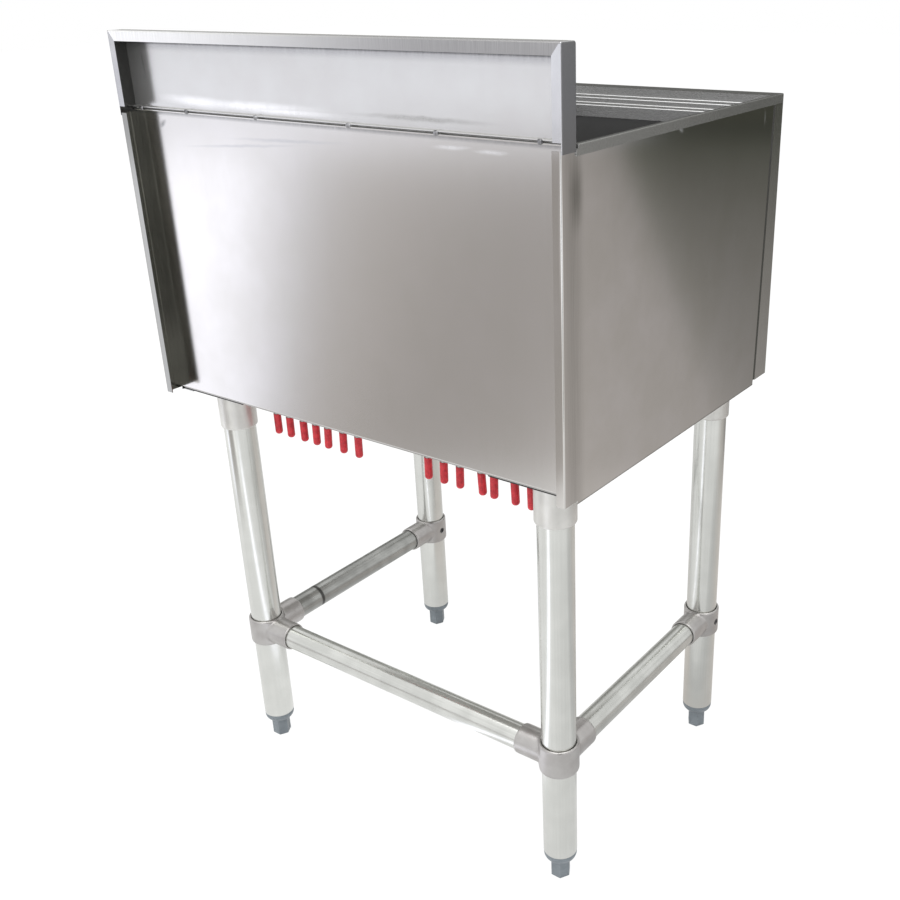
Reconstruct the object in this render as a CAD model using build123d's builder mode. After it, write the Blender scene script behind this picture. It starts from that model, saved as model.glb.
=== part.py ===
from build123d import *
import os

# Underbar ice bin: an insulated stainless box with a stepped rim, two sliding lids,
# a sealed-in cold plate and a tubular leg stand. Millimetres, Z up, front towards -Y,
# origin on the floor under the middle of the box.

# Box and backsplash
body_width = 610.0
body_depth = 457.0
rim_height = 890.0
body_height = 342.8
splash_height = 84.0
splash_depth = 22.5
sheet = 1.2
bend_radius = 1.5
corner_radius = 3.0

# Flanges, hems and seams of the sheet work
rim_flange = 10.4
rear_flange = 12.0
panel_return = 10.0
base_flange = 20.0
hem_clear = 0.5
seam_hem = 2.0
seam_lip = 4.0
seam_gap = 0.8
splash_flange_lift = 3.0
splash_drop = 11.0
splash_return = 9.0
splash_lap = 6.7
splash_edge = 1.0
panel_flange_drop = 4.0
corner_notch = 3.0

# Front apron and its tapered side returns
strip_width_top = 21.5
strip_width_bottom = 32.5
strip_lap = 12.0
strip_step = 2.4
apron_return = 38.0

# Stepped rim: a flat top in front, then three shelves down to the liner
front_rim = 29.0
shelf_1_depth = 10.5
shelf_2_depth = 17.8
shelf_3_depth = 36.5
shelf_1_width = 15.0
shelf_2_width = 12.0
shelf_3_width = 15.0

# Liner, cold plate and insulation
side_insulation = 30.0
liner_corner = 20.0
liner_cove = 16.0
liner_flange = 8.0
under_plate = 28.0
plate_thickness = 35.0
plate_width = 440.0
plate_corner = 10.0
plate_from_gasket = 8.5
plate_from_tubes = 26.0
foam_gap = 0.2

# Circuit tubes: two groups of seven, bent down behind the liner and hand set
tube_radius = 3.97
tube_wall = 0.7
tube_pitch = 24.2
tubes_per_group = 7
group_offset = 128.5
right_lean = (2.3, 4.0, 6.4, 2.5, 0.0, 0.7, -0.9)
left_lean = (-1.1, -3.3, 2.4, -5.5, 3.3, 2.9, 2.2)
tube_from_rear = 84.5
tube_bend = 14.0
tube_below = 62.2
tube_clear = 4.0

# Vinyl caps on the tube ends
cap_length = 28.0
cap_wall = 0.75
cap_fit = 0.05
cap_end = 3.4
cap_round = 4.0

# Drain
drain_from_liner = 50.0
drain_bore = 13.0
drain_radius = 17.5
drain_tail_radius = 16.7
drain_tail = 44.0
drain_flange_radius = 30.0
drain_flange = 2.5
drain_below = 49.2
drain_nut_flats = 46.0
drain_nut_height = 11.0
gasket_radius = 27.0
gasket_thickness = 3.0
drain_clear = 1.3
thread_fit = 0.05
strainer_radius = 24.0
strainer_thickness = 1.0
strainer_hole = 2.2
strainer_ring = 8.5
strainer_holes = 8

# Sliding lids
lid_thickness = 4.0
lid_rest_gap = 0.3
lid_side_gap = 1.0
lid_overlap = 30.0
lid_lip_height = 9.0
lid_corner = 1.6
lid_edge = 1.0

# Legs, sockets and feet
leg_radius = 20.65
leg_wall = 1.5
leg_edge = 0.6
leg_inset_side = 55.6
leg_inset_rear = 62.0
leg_inset_front = 38.2
leg_bottom = 40.0
leg_fit = 0.1
socket_wall = 2.7
socket_height = 52.0
socket_lip = 2.5
gusset_thickness = 1.5
gusset_side = 17.0
gusset_reach = 32.0
gusset_arm = 58.8
gusset_band = 16.0
socket_screw_height = 22.0
insert_length = 42.0
insert_lip = 3.0
insert_dome = 10.0
insert_step = 0.25
foot_flats = 22.0
foot_chamfer = 2.0
foot_gap = 0.3
foot_thread_radius = 7.9
foot_thread_length = 50.0
foot_fit = 0.1

# Brace frame and its cast connectors
brace_height = 183.0
brace_radius = 15.9
brace_wall = 1.5
brace_fit = 0.1
ring_height = 39.0
ring_wall = 3.2
ring_clear = 0.35
ring_fillet = 3.0
ring_chamfer = 1.2
branch_radius = 18.6
branch_reach = 54.0
branch_seat = 30.0
branch_fillet = 1.5
branch_screw_reach = 42.0
crotch_reach = 27.0
screw_radius = 4.0
screw_sink = 0.4
screw_gap = 0.05
screw_key = 4.0
screw_key_depth = 1.4

# Places worked out from the sizes above
half_w = body_width / 2
front_y = -body_depth / 2
rear_y = body_depth / 2
base_z = rim_height - body_height
splash_top = rim_height + splash_height
skin_x = half_w - sheet
inner_x = skin_x - sheet
hem_x = inner_x - sheet
back_y = rear_y - splash_depth
flange_z = rim_height - rim_flange
seam_low = rim_height - seam_gap / 2
seam_high = rim_height + seam_gap / 2
apron_z = base_z + sheet
rear_low = base_z - sheet
panel_front = front_y + strip_width_top - strip_lap
panel_foot = front_y + strip_width_bottom + strip_step
front_wall = front_y + front_rim
rear_wall = back_y - sheet
notch_y = back_y - corner_notch
base_rear = back_y - bend_radius
track_2_front = front_wall + shelf_1_width
track_2_rear = rear_wall - shelf_1_width
track_3_front = track_2_front + shelf_2_width
track_3_rear = track_2_rear - shelf_2_width
liner_front = track_3_front + shelf_3_width
liner_rear = track_3_rear - shelf_3_width
liner_x = half_w - side_insulation
liner_mid_y = (liner_front + liner_rear) / 2
liner_span_y = liner_rear - liner_front
shelf_3_z = rim_height - shelf_3_depth
liner_top = shelf_3_z - sheet
plate_bottom = base_z + under_plate
liner_bottom = plate_bottom + plate_thickness
floor_z = liner_bottom + sheet
tube_y = rear_y - tube_from_rear
drain_y = liner_front + drain_from_liner
plate_rear = tube_y - plate_from_tubes
plate_front = drain_y + gasket_radius + plate_from_gasket
plate_depth = plate_rear - plate_front
plate_mid_y = (plate_rear + plate_front) / 2
tube_z = plate_bottom + plate_thickness / 2
tube_end = base_z - tube_below
slot_length = (tubes_per_group - 1) * tube_pitch + 2 * (tube_radius + tube_clear)
slot_width = 2 * (tube_radius + tube_clear)
drain_bottom = base_z - drain_below
gusset_top = rear_low - sheet
socket_under = gusset_top - gusset_thickness
panel_z = socket_under - sheet
foam_bottom = apron_z + sheet + foam_gap
foam_top = liner_top - sheet - foam_gap
leg_x = half_w - leg_inset_side
leg_rear_y = rear_y - leg_inset_rear
leg_front_y = front_y + leg_inset_front
collar_inner = leg_radius + leg_fit
collar_outer = collar_inner + socket_wall
collar_bottom = socket_under - socket_height
ring_inner = leg_radius + ring_clear
ring_outer = ring_inner + ring_wall
ring_low = brace_height - ring_height / 2
insert_bottom = leg_bottom - insert_lip - insert_dome
foot_top = insert_bottom - foot_gap

legs = {
    "front_left": (-leg_x, leg_front_y),
    "front_right": (leg_x, leg_front_y),
    "rear_left": (-leg_x, leg_rear_y),
    "rear_right": (leg_x, leg_rear_y),
}

os.makedirs("parts", exist_ok=True)


def finish(builder, name):
    """Label a sub-part and write it as its own STEP file."""
    builder.part.label = name
    export_step(builder.part, "parts/" + name + ".step")


def bent_strip(plane, points, side):
    """Section of a bent sheet: the path is one of its faces, the sheet on its given side."""
    with BuildSketch(plane) as section:
        with BuildLine():
            FilletPolyline(*points, radius=bend_radius)
            offset(amount=sheet, side=side)
        make_face()
    return section.sketch


def tub(grow, low, high):
    """Solid of the liner's inner form, grown by a wall or a clearance."""
    with BuildPart() as form:
        with BuildSketch(Plane.XY.offset(low)):
            with Locations((0, liner_mid_y)):
                span_x = 2 * (liner_x + grow)
                RectangleRounded(span_x, liner_span_y + 2 * grow, liner_corner + grow)
        extrude(amount=high - low)
        fillet(form.faces().sort_by(Axis.Z)[0].edges(), liner_cove + grow)
    return form.part


def shelf_path(wall, way):
    """Steps from the rim's opening edge down to the lowest shelf, inwards along way."""
    track_2 = wall + way * shelf_1_width
    track_3 = track_2 + way * shelf_2_width
    return [
        (wall, rim_height - sheet / 2),
        (wall, rim_height - shelf_1_depth),
        (track_2, rim_height - shelf_1_depth),
        (track_2, rim_height - shelf_2_depth),
        (track_3, rim_height - shelf_2_depth),
        (track_3, liner_top),
    ]


# Stepped rim frame: a folded tray with a flat top in front only, shelves and side hems
with BuildPart() as rim_frame:
    with BuildSketch(Plane.XY.offset(flange_z)):
        with Locations((0, (front_y + back_y) / 2)):
            Rectangle(body_width, back_y - front_y)
    extrude(amount=rim_flange)
    upright = rim_frame.edges().filter_by(Axis.Z).group_by(Axis.Y)[0]
    top_edges = rim_frame.faces().sort_by(Axis.Z)[-1].edges().sort_by(Axis.Y)[:-1]
    fillet(upright + top_edges, bend_radius)
    under = rim_frame.faces().sort_by(Axis.Z)[0]
    behind = rim_frame.faces().sort_by(Axis.Y)[-1]
    offset(amount=-sheet, openings=[under, behind])
    with BuildSketch(Plane.XY.offset(rim_height)):
        with Locations((0, (front_wall + rear_wall) / 2)):
            Rectangle(2 * hem_x, rear_wall - front_wall)
    extrude(amount=-rim_flange, mode=Mode.SUBTRACT)
    shelf_start = Plane.YZ.offset(-hem_x - sheet / 2)
    front_shelves = bent_strip(shelf_start, shelf_path(front_wall, 1), Side.RIGHT)
    rear_shelves = bent_strip(shelf_start, shelf_path(rear_wall, -1), Side.LEFT)
    extrude(front_shelves, amount=2 * hem_x + sheet)
    extrude(rear_shelves, amount=2 * hem_x + sheet)
    with BuildSketch(Plane.XY.offset(liner_top)):
        for side_sign in (-1, 1):
            with Locations((side_sign * (hem_x + sheet / 2), (front_wall + rear_wall) / 2)):
                Rectangle(sheet, rear_wall - front_wall + 2 * sheet)
    extrude(amount=rim_height - sheet / 2 - liner_top)
    with BuildSketch(Plane.XY.offset(shelf_3_z)):
        with Locations((0, (track_3_front + track_3_rear) / 2)):
            Rectangle(2 * hem_x + sheet, track_3_rear - track_3_front + sheet)
        with Locations((0, liner_mid_y)):
            RectangleRounded(2 * liner_x, liner_span_y, liner_corner, mode=Mode.SUBTRACT)
    extrude(amount=-sheet)
    with BuildSketch(Plane.XY.offset(rim_height)):
        for side_sign in (-1, 1):
            with Locations((side_sign * (hem_x + half_w) / 2, (notch_y + back_y) / 2)):
                Rectangle(half_w - hem_x, corner_notch)
    extrude(amount=-panel_flange_drop, mode=Mode.SUBTRACT)
finish(rim_frame, "rim_frame")


def side_panel(side_sign, name):
    """Flat side skin with a rear return, a bottom return and notches at its corners."""
    panel_top = rim_height - sheet - hem_clear
    with BuildPart() as panel:
        with BuildSketch(Plane.YZ.offset(side_sign * skin_x)):
            with BuildLine():
                Polyline(
                    (panel_front, apron_z),
                    (panel_foot, apron_z),
                    (panel_foot, panel_z),
                    (back_y, panel_z),
                    (back_y, rear_low),
                    (rear_y, rear_low),
                    (rear_y, rim_height - panel_flange_drop),
                    (notch_y, rim_height - panel_flange_drop),
                    (notch_y, panel_top),
                    (panel_front, panel_top),
                    close=True,
                )
            make_face()
        extrude(amount=-side_sign * sheet)
        with BuildSketch(Plane.XY.offset(rear_low)):
            with Locations((side_sign * (skin_x - panel_return / 2), rear_y - sheet / 2)):
                Rectangle(panel_return, sheet)
        extrude(amount=rim_height - panel_flange_drop - rear_low)
        with BuildSketch(Plane.XY.offset(panel_z)):
            with Locations((side_sign * (skin_x - base_flange / 2), (panel_foot + base_rear) / 2)):
                Rectangle(base_flange, base_rear - panel_foot)
        extrude(amount=sheet)
        uprights = panel.edges().filter_by(Axis.Z).group_by(Axis.Y)[-1]
        fillet(uprights.sort_by(lambda edge: side_sign * edge.center().X)[-1], bend_radius)
    finish(panel, name)


side_panel(-1, "side_panel_left")
side_panel(1, "side_panel_right")


def seam_strip(plane, path, radii, side, lip_low):
    """Bent sheet section with a closed hem turned out along the seam at the rim."""
    lip_end = back_y + sheet + seam_lip
    with BuildSketch(plane) as section:
        with BuildLine():
            FilletPolyline(*path, radius=radii)
            offset(amount=sheet, side=side)
        make_face()
        with Locations(((back_y + lip_end) / 2, lip_low + seam_hem / 2)):
            Rectangle(lip_end - back_y, seam_hem)
        tips = section.vertices().filter_by_position(Axis.X, lip_end - seam_gap, lip_end + seam_gap)
        fillet(tips, seam_hem / 3)
    return section.sketch


# Rear panel: flat sheet with the seam hem above and a return under the box
rear_path = [
    (back_y, seam_low),
    (back_y, base_z),
    (back_y - rear_flange, base_z),
]
with BuildPart() as rear_panel:
    rear_section = seam_strip(
        Plane.YZ.offset(-inner_x), rear_path, bend_radius, Side.LEFT, seam_low - seam_hem
    )
    extrude(rear_section, amount=2 * inner_x)
finish(rear_panel, "rear_panel")

# Front apron: one sheet bent back at both sides and along the bottom
with BuildPart() as front_apron:
    with BuildSketch(Plane.XY.offset(apron_z)):
        with Locations((0, front_y + apron_return / 2)):
            Rectangle(body_width, apron_return)
    extrude(amount=flange_z - apron_z)
    fillet(front_apron.edges().filter_by(Axis.Z).group_by(Axis.Y)[0], bend_radius)
    ends = front_apron.faces().filter_by(Axis.Z)
    offset(amount=-sheet, openings=[*ends, front_apron.faces().sort_by(Axis.Y)[-1]])
    with BuildSketch(Plane.YZ.offset(-half_w)):
        with BuildLine():
            Polyline(
                (front_y + strip_width_top, flange_z),
                (front_y + strip_width_bottom, apron_z),
                (front_y + apron_return, apron_z),
                (front_y + apron_return, flange_z),
                close=True,
            )
        make_face()
    extrude(amount=body_width, mode=Mode.SUBTRACT)
    with BuildSketch(Plane.XY.offset(apron_z)):
        with Locations((0, front_y + (apron_return + sheet) / 2)):
            Rectangle(2 * inner_x, apron_return - sheet)
    extrude(amount=sheet)
finish(front_apron, "front_apron")

# Base panel: closes the insulation from below, turned up to the apron's return
with BuildPart() as base_panel:
    upturn_y = front_y + apron_return - sheet
    base_x = inner_x - hem_clear
    base_path = [(upturn_y, apron_z), (upturn_y, gusset_top), (base_rear, gusset_top)]
    base_section = bent_strip(Plane.YZ.offset(-base_x), base_path, Side.LEFT)
    extrude(base_section, amount=2 * base_x)
    with BuildSketch(Plane.XY.offset(gusset_top)):
        for side_sign in (-1, 1):
            with Locations((side_sign * group_offset, tube_y)):
                SlotOverall(slot_length, slot_width)
        with Locations((0, drain_y)):
            Circle(drain_radius + drain_clear)
    extrude(amount=sheet, mode=Mode.SUBTRACT)
finish(base_panel, "base_panel")

# Gusset plates: one over each leg socket, with an arm inwards along the box's edge
with BuildPart() as gusset_plates:
    with BuildSketch(Plane.XY.offset(socket_under)):
        for x, y in legs.values():
            side_sign = 1 if x > 0 else -1
            end_sign = 1 if y > 0 else -1
            outer_x = side_sign * (skin_x - gusset_side)
            outer_y = base_rear if y > 0 else y - gusset_reach
            pad_x = x - side_sign * gusset_reach
            pad_y = y - end_sign * gusset_reach
            arm_x = x - side_sign * gusset_arm
            with Locations(((outer_x + pad_x) / 2, (outer_y + pad_y) / 2)):
                Rectangle(abs(outer_x - pad_x), abs(outer_y - pad_y))
            with Locations(((outer_x + arm_x) / 2, outer_y - end_sign * gusset_band / 2)):
                Rectangle(abs(outer_x - arm_x), gusset_band)
    extrude(amount=gusset_thickness)
finish(gusset_plates, "gusset_plates")

# Liner: coved tub hung by its flange under the lowest shelf, with the drain hole
liner_shell = tub(sheet, liner_bottom, liner_top)
liner_space = tub(0, floor_z, liner_top)
with BuildPart() as liner:
    add(liner_shell)
    with BuildSketch(Plane.XY.offset(liner_top)):
        with Locations((0, liner_mid_y)):
            flange_x = 2 * (liner_x + liner_flange)
            flange_corner = liner_corner + liner_flange
            RectangleRounded(flange_x, liner_span_y + 2 * liner_flange, flange_corner)
    extrude(amount=-sheet)
    add(liner_space, mode=Mode.SUBTRACT)
    with BuildSketch(Plane.XY.offset(liner_bottom)):
        with Locations((0, drain_y)):
            Circle(drain_radius + drain_clear)
    extrude(amount=sheet, mode=Mode.SUBTRACT)
finish(liner, "liner")

# Cold plate: the cast block under the liner's floor
with BuildPart() as cold_plate:
    with BuildSketch(Plane.XY.offset(plate_bottom)):
        with Locations((0, plate_mid_y)):
            RectangleRounded(plate_width, plate_depth, plate_corner)
    extrude(amount=plate_thickness)
finish(cold_plate, "cold_plate")

# Insulation: one block of foam round the liner, open where the plate, tubes and drain are
foam_pocket = tub(sheet + foam_gap, liner_bottom - foam_gap, foam_top)
foam_front = front_y + sheet + foam_gap
foam_rear = back_y - foam_gap
with BuildPart() as foam_insulation:
    with BuildSketch(Plane.XY.offset(foam_bottom)):
        with Locations((0, (foam_front + foam_rear) / 2)):
            Rectangle(2 * (inner_x - foam_gap), foam_rear - foam_front)
    extrude(amount=foam_top - foam_bottom)
    add(foam_pocket, mode=Mode.SUBTRACT)
    with BuildSketch(Plane.XY.offset(plate_bottom - foam_gap)):
        with Locations((0, plate_mid_y)):
            pocket_x = plate_width + 2 * foam_gap
            RectangleRounded(pocket_x, plate_depth + 2 * foam_gap, plate_corner + foam_gap)
    extrude(amount=plate_thickness + 2 * foam_gap, mode=Mode.SUBTRACT)
    channel_rear = tube_y + slot_width / 2
    with BuildSketch(Plane.XY.offset(foam_bottom)):
        for side_sign in (-1, 1):
            with Locations((side_sign * group_offset, (plate_rear + channel_rear) / 2)):
                Rectangle(slot_length, channel_rear - plate_rear + plate_corner)
    extrude(amount=tube_z + slot_width / 2 - foam_bottom, mode=Mode.SUBTRACT)
    with BuildSketch(Plane.XY.offset(foam_bottom)):
        with Locations((0, drain_y)):
            Circle(gasket_radius + drain_clear)
    extrude(amount=liner_bottom - foam_bottom, mode=Mode.SUBTRACT)
finish(foam_insulation, "foam_insulation")


def tube_ends():
    """Each tube's place on the plate and the place that its hand-set end leans to."""
    places = []
    for side_sign, leans in ((1, right_lean), (-1, left_lean)):
        for number, lean in enumerate(leans[:tubes_per_group]):
            along = number - (tubes_per_group - 1) / 2
            x = side_sign * group_offset + along * tube_pitch
            places.append((x, x + lean))
    return places


# Circuit tubes: rearwards out of the plate, then down through the base
with BuildPart() as circuit_tubes:
    for x, end_x in tube_ends():
        with BuildLine():
            route = FilletPolyline(
                (x, plate_rear, tube_z),
                (x, tube_y, tube_z),
                (end_x, tube_y, tube_end),
                radius=tube_bend,
            )
        with BuildSketch(Plane(origin=(x, plate_rear, tube_z), z_dir=(0, 1, 0))):
            Circle(tube_radius)
            Circle(tube_radius - tube_wall, mode=Mode.SUBTRACT)
        sweep(path=route)
finish(circuit_tubes, "circuit_tubes")

# Caps: vinyl cups with rounded ends, pushed on in line with each tube
cap_inner = tube_radius + cap_fit
with BuildPart() as tube_caps:
    for x, end_x in tube_ends():
        drop = Vector(x - end_x, 0, tube_z - tube_end).normalized()
        closed_end = Vector(end_x, tube_y, tube_end) - drop * cap_end
        with BuildSketch(Plane(origin=closed_end, z_dir=drop)):
            Circle(cap_inner + cap_wall)
        extrude(amount=cap_length)
        rims = tube_caps.edges().filter_by(GeomType.CIRCLE)
        closed_rim = rims.sort_by_distance(closed_end)[0]
        fillet(closed_rim, cap_round)
        with BuildSketch(Plane(origin=closed_end + drop * cap_end, z_dir=drop)):
            Circle(cap_inner)
        extrude(amount=cap_length, mode=Mode.SUBTRACT)
finish(tube_caps, "tube_caps")

# Drain: flanged tail through the liner floor, nut and gasket below, strainer above
with BuildPart() as drain_fitting:
    with BuildSketch(Plane.XY.offset(drain_bottom)):
        with Locations((0, drain_y)):
            Circle(drain_tail_radius)
    extrude(amount=drain_tail)
    with BuildSketch(Plane.XY.offset(drain_bottom + drain_tail)):
        with Locations((0, drain_y)):
            Circle(drain_radius)
    extrude(amount=floor_z - drain_bottom - drain_tail)
    with BuildSketch(Plane.XY.offset(floor_z)):
        with Locations((0, drain_y)):
            Circle(drain_flange_radius)
    extrude(amount=drain_flange)
    chamfer(drain_fitting.edges().group_by(Axis.Z)[-1], drain_flange / 2)
    with BuildSketch(Plane.XY.offset(floor_z + drain_flange)):
        with Locations((0, drain_y)):
            Circle(strainer_radius + foam_gap)
    extrude(amount=-strainer_thickness, mode=Mode.SUBTRACT)
    with BuildSketch(Plane.XY.offset(drain_bottom)):
        with Locations((0, drain_y)):
            Circle(drain_bore)
    extrude(amount=floor_z + drain_flange - drain_bottom, mode=Mode.SUBTRACT)
finish(drain_fitting, "drain_fitting")

with BuildPart() as drain_gasket:
    with BuildSketch(Plane.XY.offset(liner_bottom)):
        with Locations((0, drain_y)):
            Circle(gasket_radius)
            Circle(drain_radius + thread_fit, mode=Mode.SUBTRACT)
    extrude(amount=-gasket_thickness)
finish(drain_gasket, "drain_gasket")

with BuildPart() as drain_locknut:
    with BuildSketch(Plane.XY.offset(liner_bottom - gasket_thickness)):
        with Locations((0, drain_y)):
            RegularPolygon(drain_nut_flats / 2, 6, major_radius=False)
            Circle(drain_radius + thread_fit, mode=Mode.SUBTRACT)
    extrude(amount=-drain_nut_height)
finish(drain_locknut, "drain_locknut")

with BuildPart() as drain_strainer:
    with BuildSketch(Plane.XY.offset(floor_z + drain_flange - strainer_thickness)):
        with Locations((0, drain_y)):
            Circle(strainer_radius)
            Circle(strainer_hole, mode=Mode.SUBTRACT)
            with PolarLocations(strainer_ring, strainer_holes):
                Circle(strainer_hole, mode=Mode.SUBTRACT)
    extrude(amount=strainer_thickness)
finish(drain_strainer, "drain_strainer")


# Backsplash: sheet from the seam up, over the top and down behind
splash_path = [
    (back_y, seam_high),
    (back_y, splash_top),
    (rear_y, splash_top),
    (rear_y, splash_top - splash_drop),
]


def mitre_corner(side_sign):
    """Corner of the rear flange that the end piece's flange fills, cut on the slant."""
    with BuildSketch(Plane.XZ.offset(-rear_y)) as corner_cut:
        with BuildLine():
            Polyline(
                (side_sign * (skin_x - splash_return), splash_top - splash_drop),
                (side_sign * (skin_x - bend_radius), splash_top - bend_radius),
                (side_sign * skin_x, splash_top - bend_radius),
                (side_sign * skin_x, splash_top - splash_drop),
                close=True,
            )
        make_face()
    return corner_cut.sketch


with BuildPart() as backsplash:
    splash_bends = [corner_radius, bend_radius]
    splash_section = seam_strip(
        Plane.YZ.offset(-skin_x), splash_path, splash_bends, Side.RIGHT, seam_high
    )
    extrude(splash_section, amount=2 * skin_x)
    for side_sign in (-1, 1):
        extrude(mitre_corner(side_sign), amount=sheet, mode=Mode.SUBTRACT)
finish(backsplash, "backsplash")


def splash_end(side_sign, name):
    """End cap of the backsplash: plate lapping the side skin, and its rear flange."""
    with BuildPart() as end:
        with BuildSketch(Plane.YZ.offset(side_sign * skin_x)):
            end_low = rim_height - splash_lap
            with Locations(((back_y + rear_y) / 2, (end_low + splash_top) / 2)):
                Rectangle(splash_depth, splash_top - end_low)
        extrude(amount=side_sign * sheet)
        tops = end.edges().filter_by(Axis.X).group_by(Axis.Z)[-1]
        fillet(tops.sort_by(Axis.Y)[0], corner_radius)
        fillet(tops.sort_by(Axis.Y)[-1], splash_edge)
        with BuildSketch(Plane.XZ.offset(-rear_y)):
            flange_low = rim_height + splash_flange_lift
            flange_high = splash_top - splash_drop
            flange_x = side_sign * (skin_x - splash_return / 2)
            with Locations((flange_x, (flange_low + flange_high) / 2)):
                Rectangle(splash_return, flange_high - flange_low)
        extrude(amount=sheet)
        extrude(mitre_corner(side_sign), amount=sheet)
        uprights = end.edges().filter_by(Axis.Z).group_by(Axis.Y)[-1]
        fillet(uprights.sort_by(lambda edge: side_sign * edge.center().X)[-1], splash_edge)
    finish(end, name)


splash_end(-1, "splash_end_left")
splash_end(1, "splash_end_right")


def lid(side_sign, shelf_z, front, rear, name):
    """Flat lid on one pair of shelves, with an upstand to pull at its outer end."""
    outer_end = side_sign * (hem_x - lid_side_gap)
    inner_end = -side_sign * lid_overlap / 2
    low = shelf_z + lid_rest_gap
    width = rear - front - 2 * lid_side_gap
    with BuildPart() as body:
        with BuildSketch(Plane.XY.offset(low)):
            with Locations(((outer_end + inner_end) / 2, (front + rear) / 2)):
                Rectangle(abs(outer_end - inner_end), width)
        extrude(amount=lid_thickness)
        with BuildSketch(Plane.XY.offset(low)):
            with Locations((outer_end - side_sign * lid_thickness / 2, (front + rear) / 2)):
                Rectangle(lid_thickness, width)
        extrude(amount=lid_lip_height + lid_thickness)
        fillet(body.edges().filter_by(Axis.Z), lid_corner)
        fillet(body.faces().sort_by(Axis.Z)[-1].edges(), lid_edge)
    finish(body, name)


lid(-1, shelf_3_z, track_3_front, track_3_rear, "lid_left")
lid(1, rim_height - shelf_2_depth, track_2_front, track_2_rear, "lid_right")


def pipe(plane, outer, wall, length):
    """Round tube along the plane's normal, as part of the open sub-part."""
    with BuildSketch(plane) as ring:
        Circle(outer)
        Circle(outer - wall, mode=Mode.SUBTRACT)
    extrude(ring.sketch, amount=length)


def leg_socket(x, y, name):
    """Collar under its gusset plate, that the leg slides into."""
    with BuildPart() as socket:
        with BuildSketch(Plane.XY.offset(collar_bottom)):
            with Locations((x, y)):
                Circle(collar_outer)
        extrude(amount=socket_height)
        fillet(socket.edges().group_by(Axis.Z)[0], socket_lip)
        with BuildSketch(Plane.XY.offset(collar_bottom)):
            with Locations((x, y)):
                Circle(collar_inner)
        extrude(amount=socket_height, mode=Mode.SUBTRACT)
        screw_z = collar_bottom + socket_screw_height
        with BuildSketch(Plane(origin=(x, y, screw_z), z_dir=(0, -1, 0))):
            Circle(screw_radius + screw_gap)
        extrude(amount=collar_outer + sheet, mode=Mode.SUBTRACT)
    finish(socket, name)


def leg(x, y, name):
    """Round steel tube from the foot insert up to the gusset plate."""
    with BuildPart() as tube:
        pipe(Plane((x, y, leg_bottom)), leg_radius, leg_wall, socket_under - leg_bottom)
        fillet(tube.edges().group_by(Axis.Z)[0].sort_by(SortBy.RADIUS)[-1], leg_edge)
    finish(tube, name)


def foot_insert(x, y, name):
    """Plastic plug in the leg's end, with a domed shoulder and a threaded bore."""
    plug = leg_radius - leg_wall - leg_fit
    shoulder = leg_radius - insert_step
    bore = foot_thread_radius + foot_fit
    with BuildPart() as insert:
        with BuildSketch(Plane.XY.offset(insert_bottom)):
            with Locations((x, y)):
                Circle(shoulder)
        extrude(amount=insert_dome + insert_lip)
        fillet(insert.edges().group_by(Axis.Z)[0], insert_dome)
        with BuildSketch(Plane.XY.offset(leg_bottom)):
            with Locations((x, y)):
                Circle(plug)
        extrude(amount=insert_length)
        with BuildSketch(Plane.XY.offset(insert_bottom)):
            with Locations((x, y)):
                Circle(bore)
        extrude(amount=leg_bottom + insert_length - insert_bottom, mode=Mode.SUBTRACT)
    finish(insert, name)


def foot(x, y, name):
    """Hexagonal levelling foot on its screw."""
    with BuildPart() as body:
        with BuildSketch():
            with Locations((x, y)):
                RegularPolygon(foot_flats / 2, 6, major_radius=False)
        extrude(amount=foot_top)
        chamfer(body.edges().group_by(Axis.Z)[0], foot_chamfer)
        with BuildSketch(Plane.XY.offset(foot_top)):
            with Locations((x, y)):
                Circle(foot_thread_radius)
        extrude(amount=foot_thread_length)
    finish(body, name)


for corner, (x, y) in legs.items():
    leg_socket(x, y, "leg_socket_" + corner)
    leg(x, y, "leg_" + corner)
    foot_insert(x, y, "foot_insert_" + corner)
    foot(x, y, "foot_" + corner)


def connector(x, y, branches, screw_way, name):
    """Cast ring on a leg with a socket for each brace, bored for its set screws."""
    centre = Vector(x, y, brace_height)
    with BuildPart() as casting:
        with BuildSketch(Plane.XY.offset(ring_low)):
            with Locations((x, y)):
                Circle(ring_outer)
        extrude(amount=ring_height)
        fillet(casting.edges().group_by(Axis.Z)[0], ring_fillet)
        chamfer(casting.edges().group_by(Axis.Z)[-1], ring_chamfer)
        for way in branches:
            with BuildSketch(Plane(origin=centre, z_dir=way)):
                Circle(branch_radius)
            extrude(amount=branch_reach)
            fillet(casting.faces().sort_by(Axis(centre, way))[-1].edges(), branch_fillet)
        with BuildSketch(Plane.XY.offset(ring_low)):
            with Locations((x, y)):
                Circle(ring_inner)
        extrude(amount=ring_height, mode=Mode.SUBTRACT)
        for way in branches:
            with BuildSketch(Plane(origin=centre + Vector(way) * branch_seat, z_dir=way)):
                Circle(brace_radius + brace_fit)
            extrude(amount=branch_reach - branch_seat, mode=Mode.SUBTRACT)
            with BuildSketch(Plane(origin=centre + Vector(way) * branch_screw_reach)):
                Circle(screw_radius + screw_gap)
            extrude(amount=-branch_reach, mode=Mode.SUBTRACT)
        with BuildSketch(Plane(origin=centre, z_dir=screw_way)):
            Circle(screw_radius + screw_gap)
        extrude(amount=branch_reach, mode=Mode.SUBTRACT)
    finish(casting, name)


front_branches = [(0, 1, 0)]
left_branches = [(1, 0, 0), (0, -1, 0)]
right_branches = [(-1, 0, 0), (0, -1, 0)]
left_crotch = (1, -1, 0)
right_crotch = (-1, -1, 0)
connector(*legs["front_left"], front_branches, (-1, 0, 0), "connector_front_left")
connector(*legs["front_right"], front_branches, (-1, 0, 0), "connector_front_right")
connector(*legs["rear_left"], left_branches, left_crotch, "connector_rear_left")
connector(*legs["rear_right"], right_branches, right_crotch, "connector_rear_right")

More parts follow.
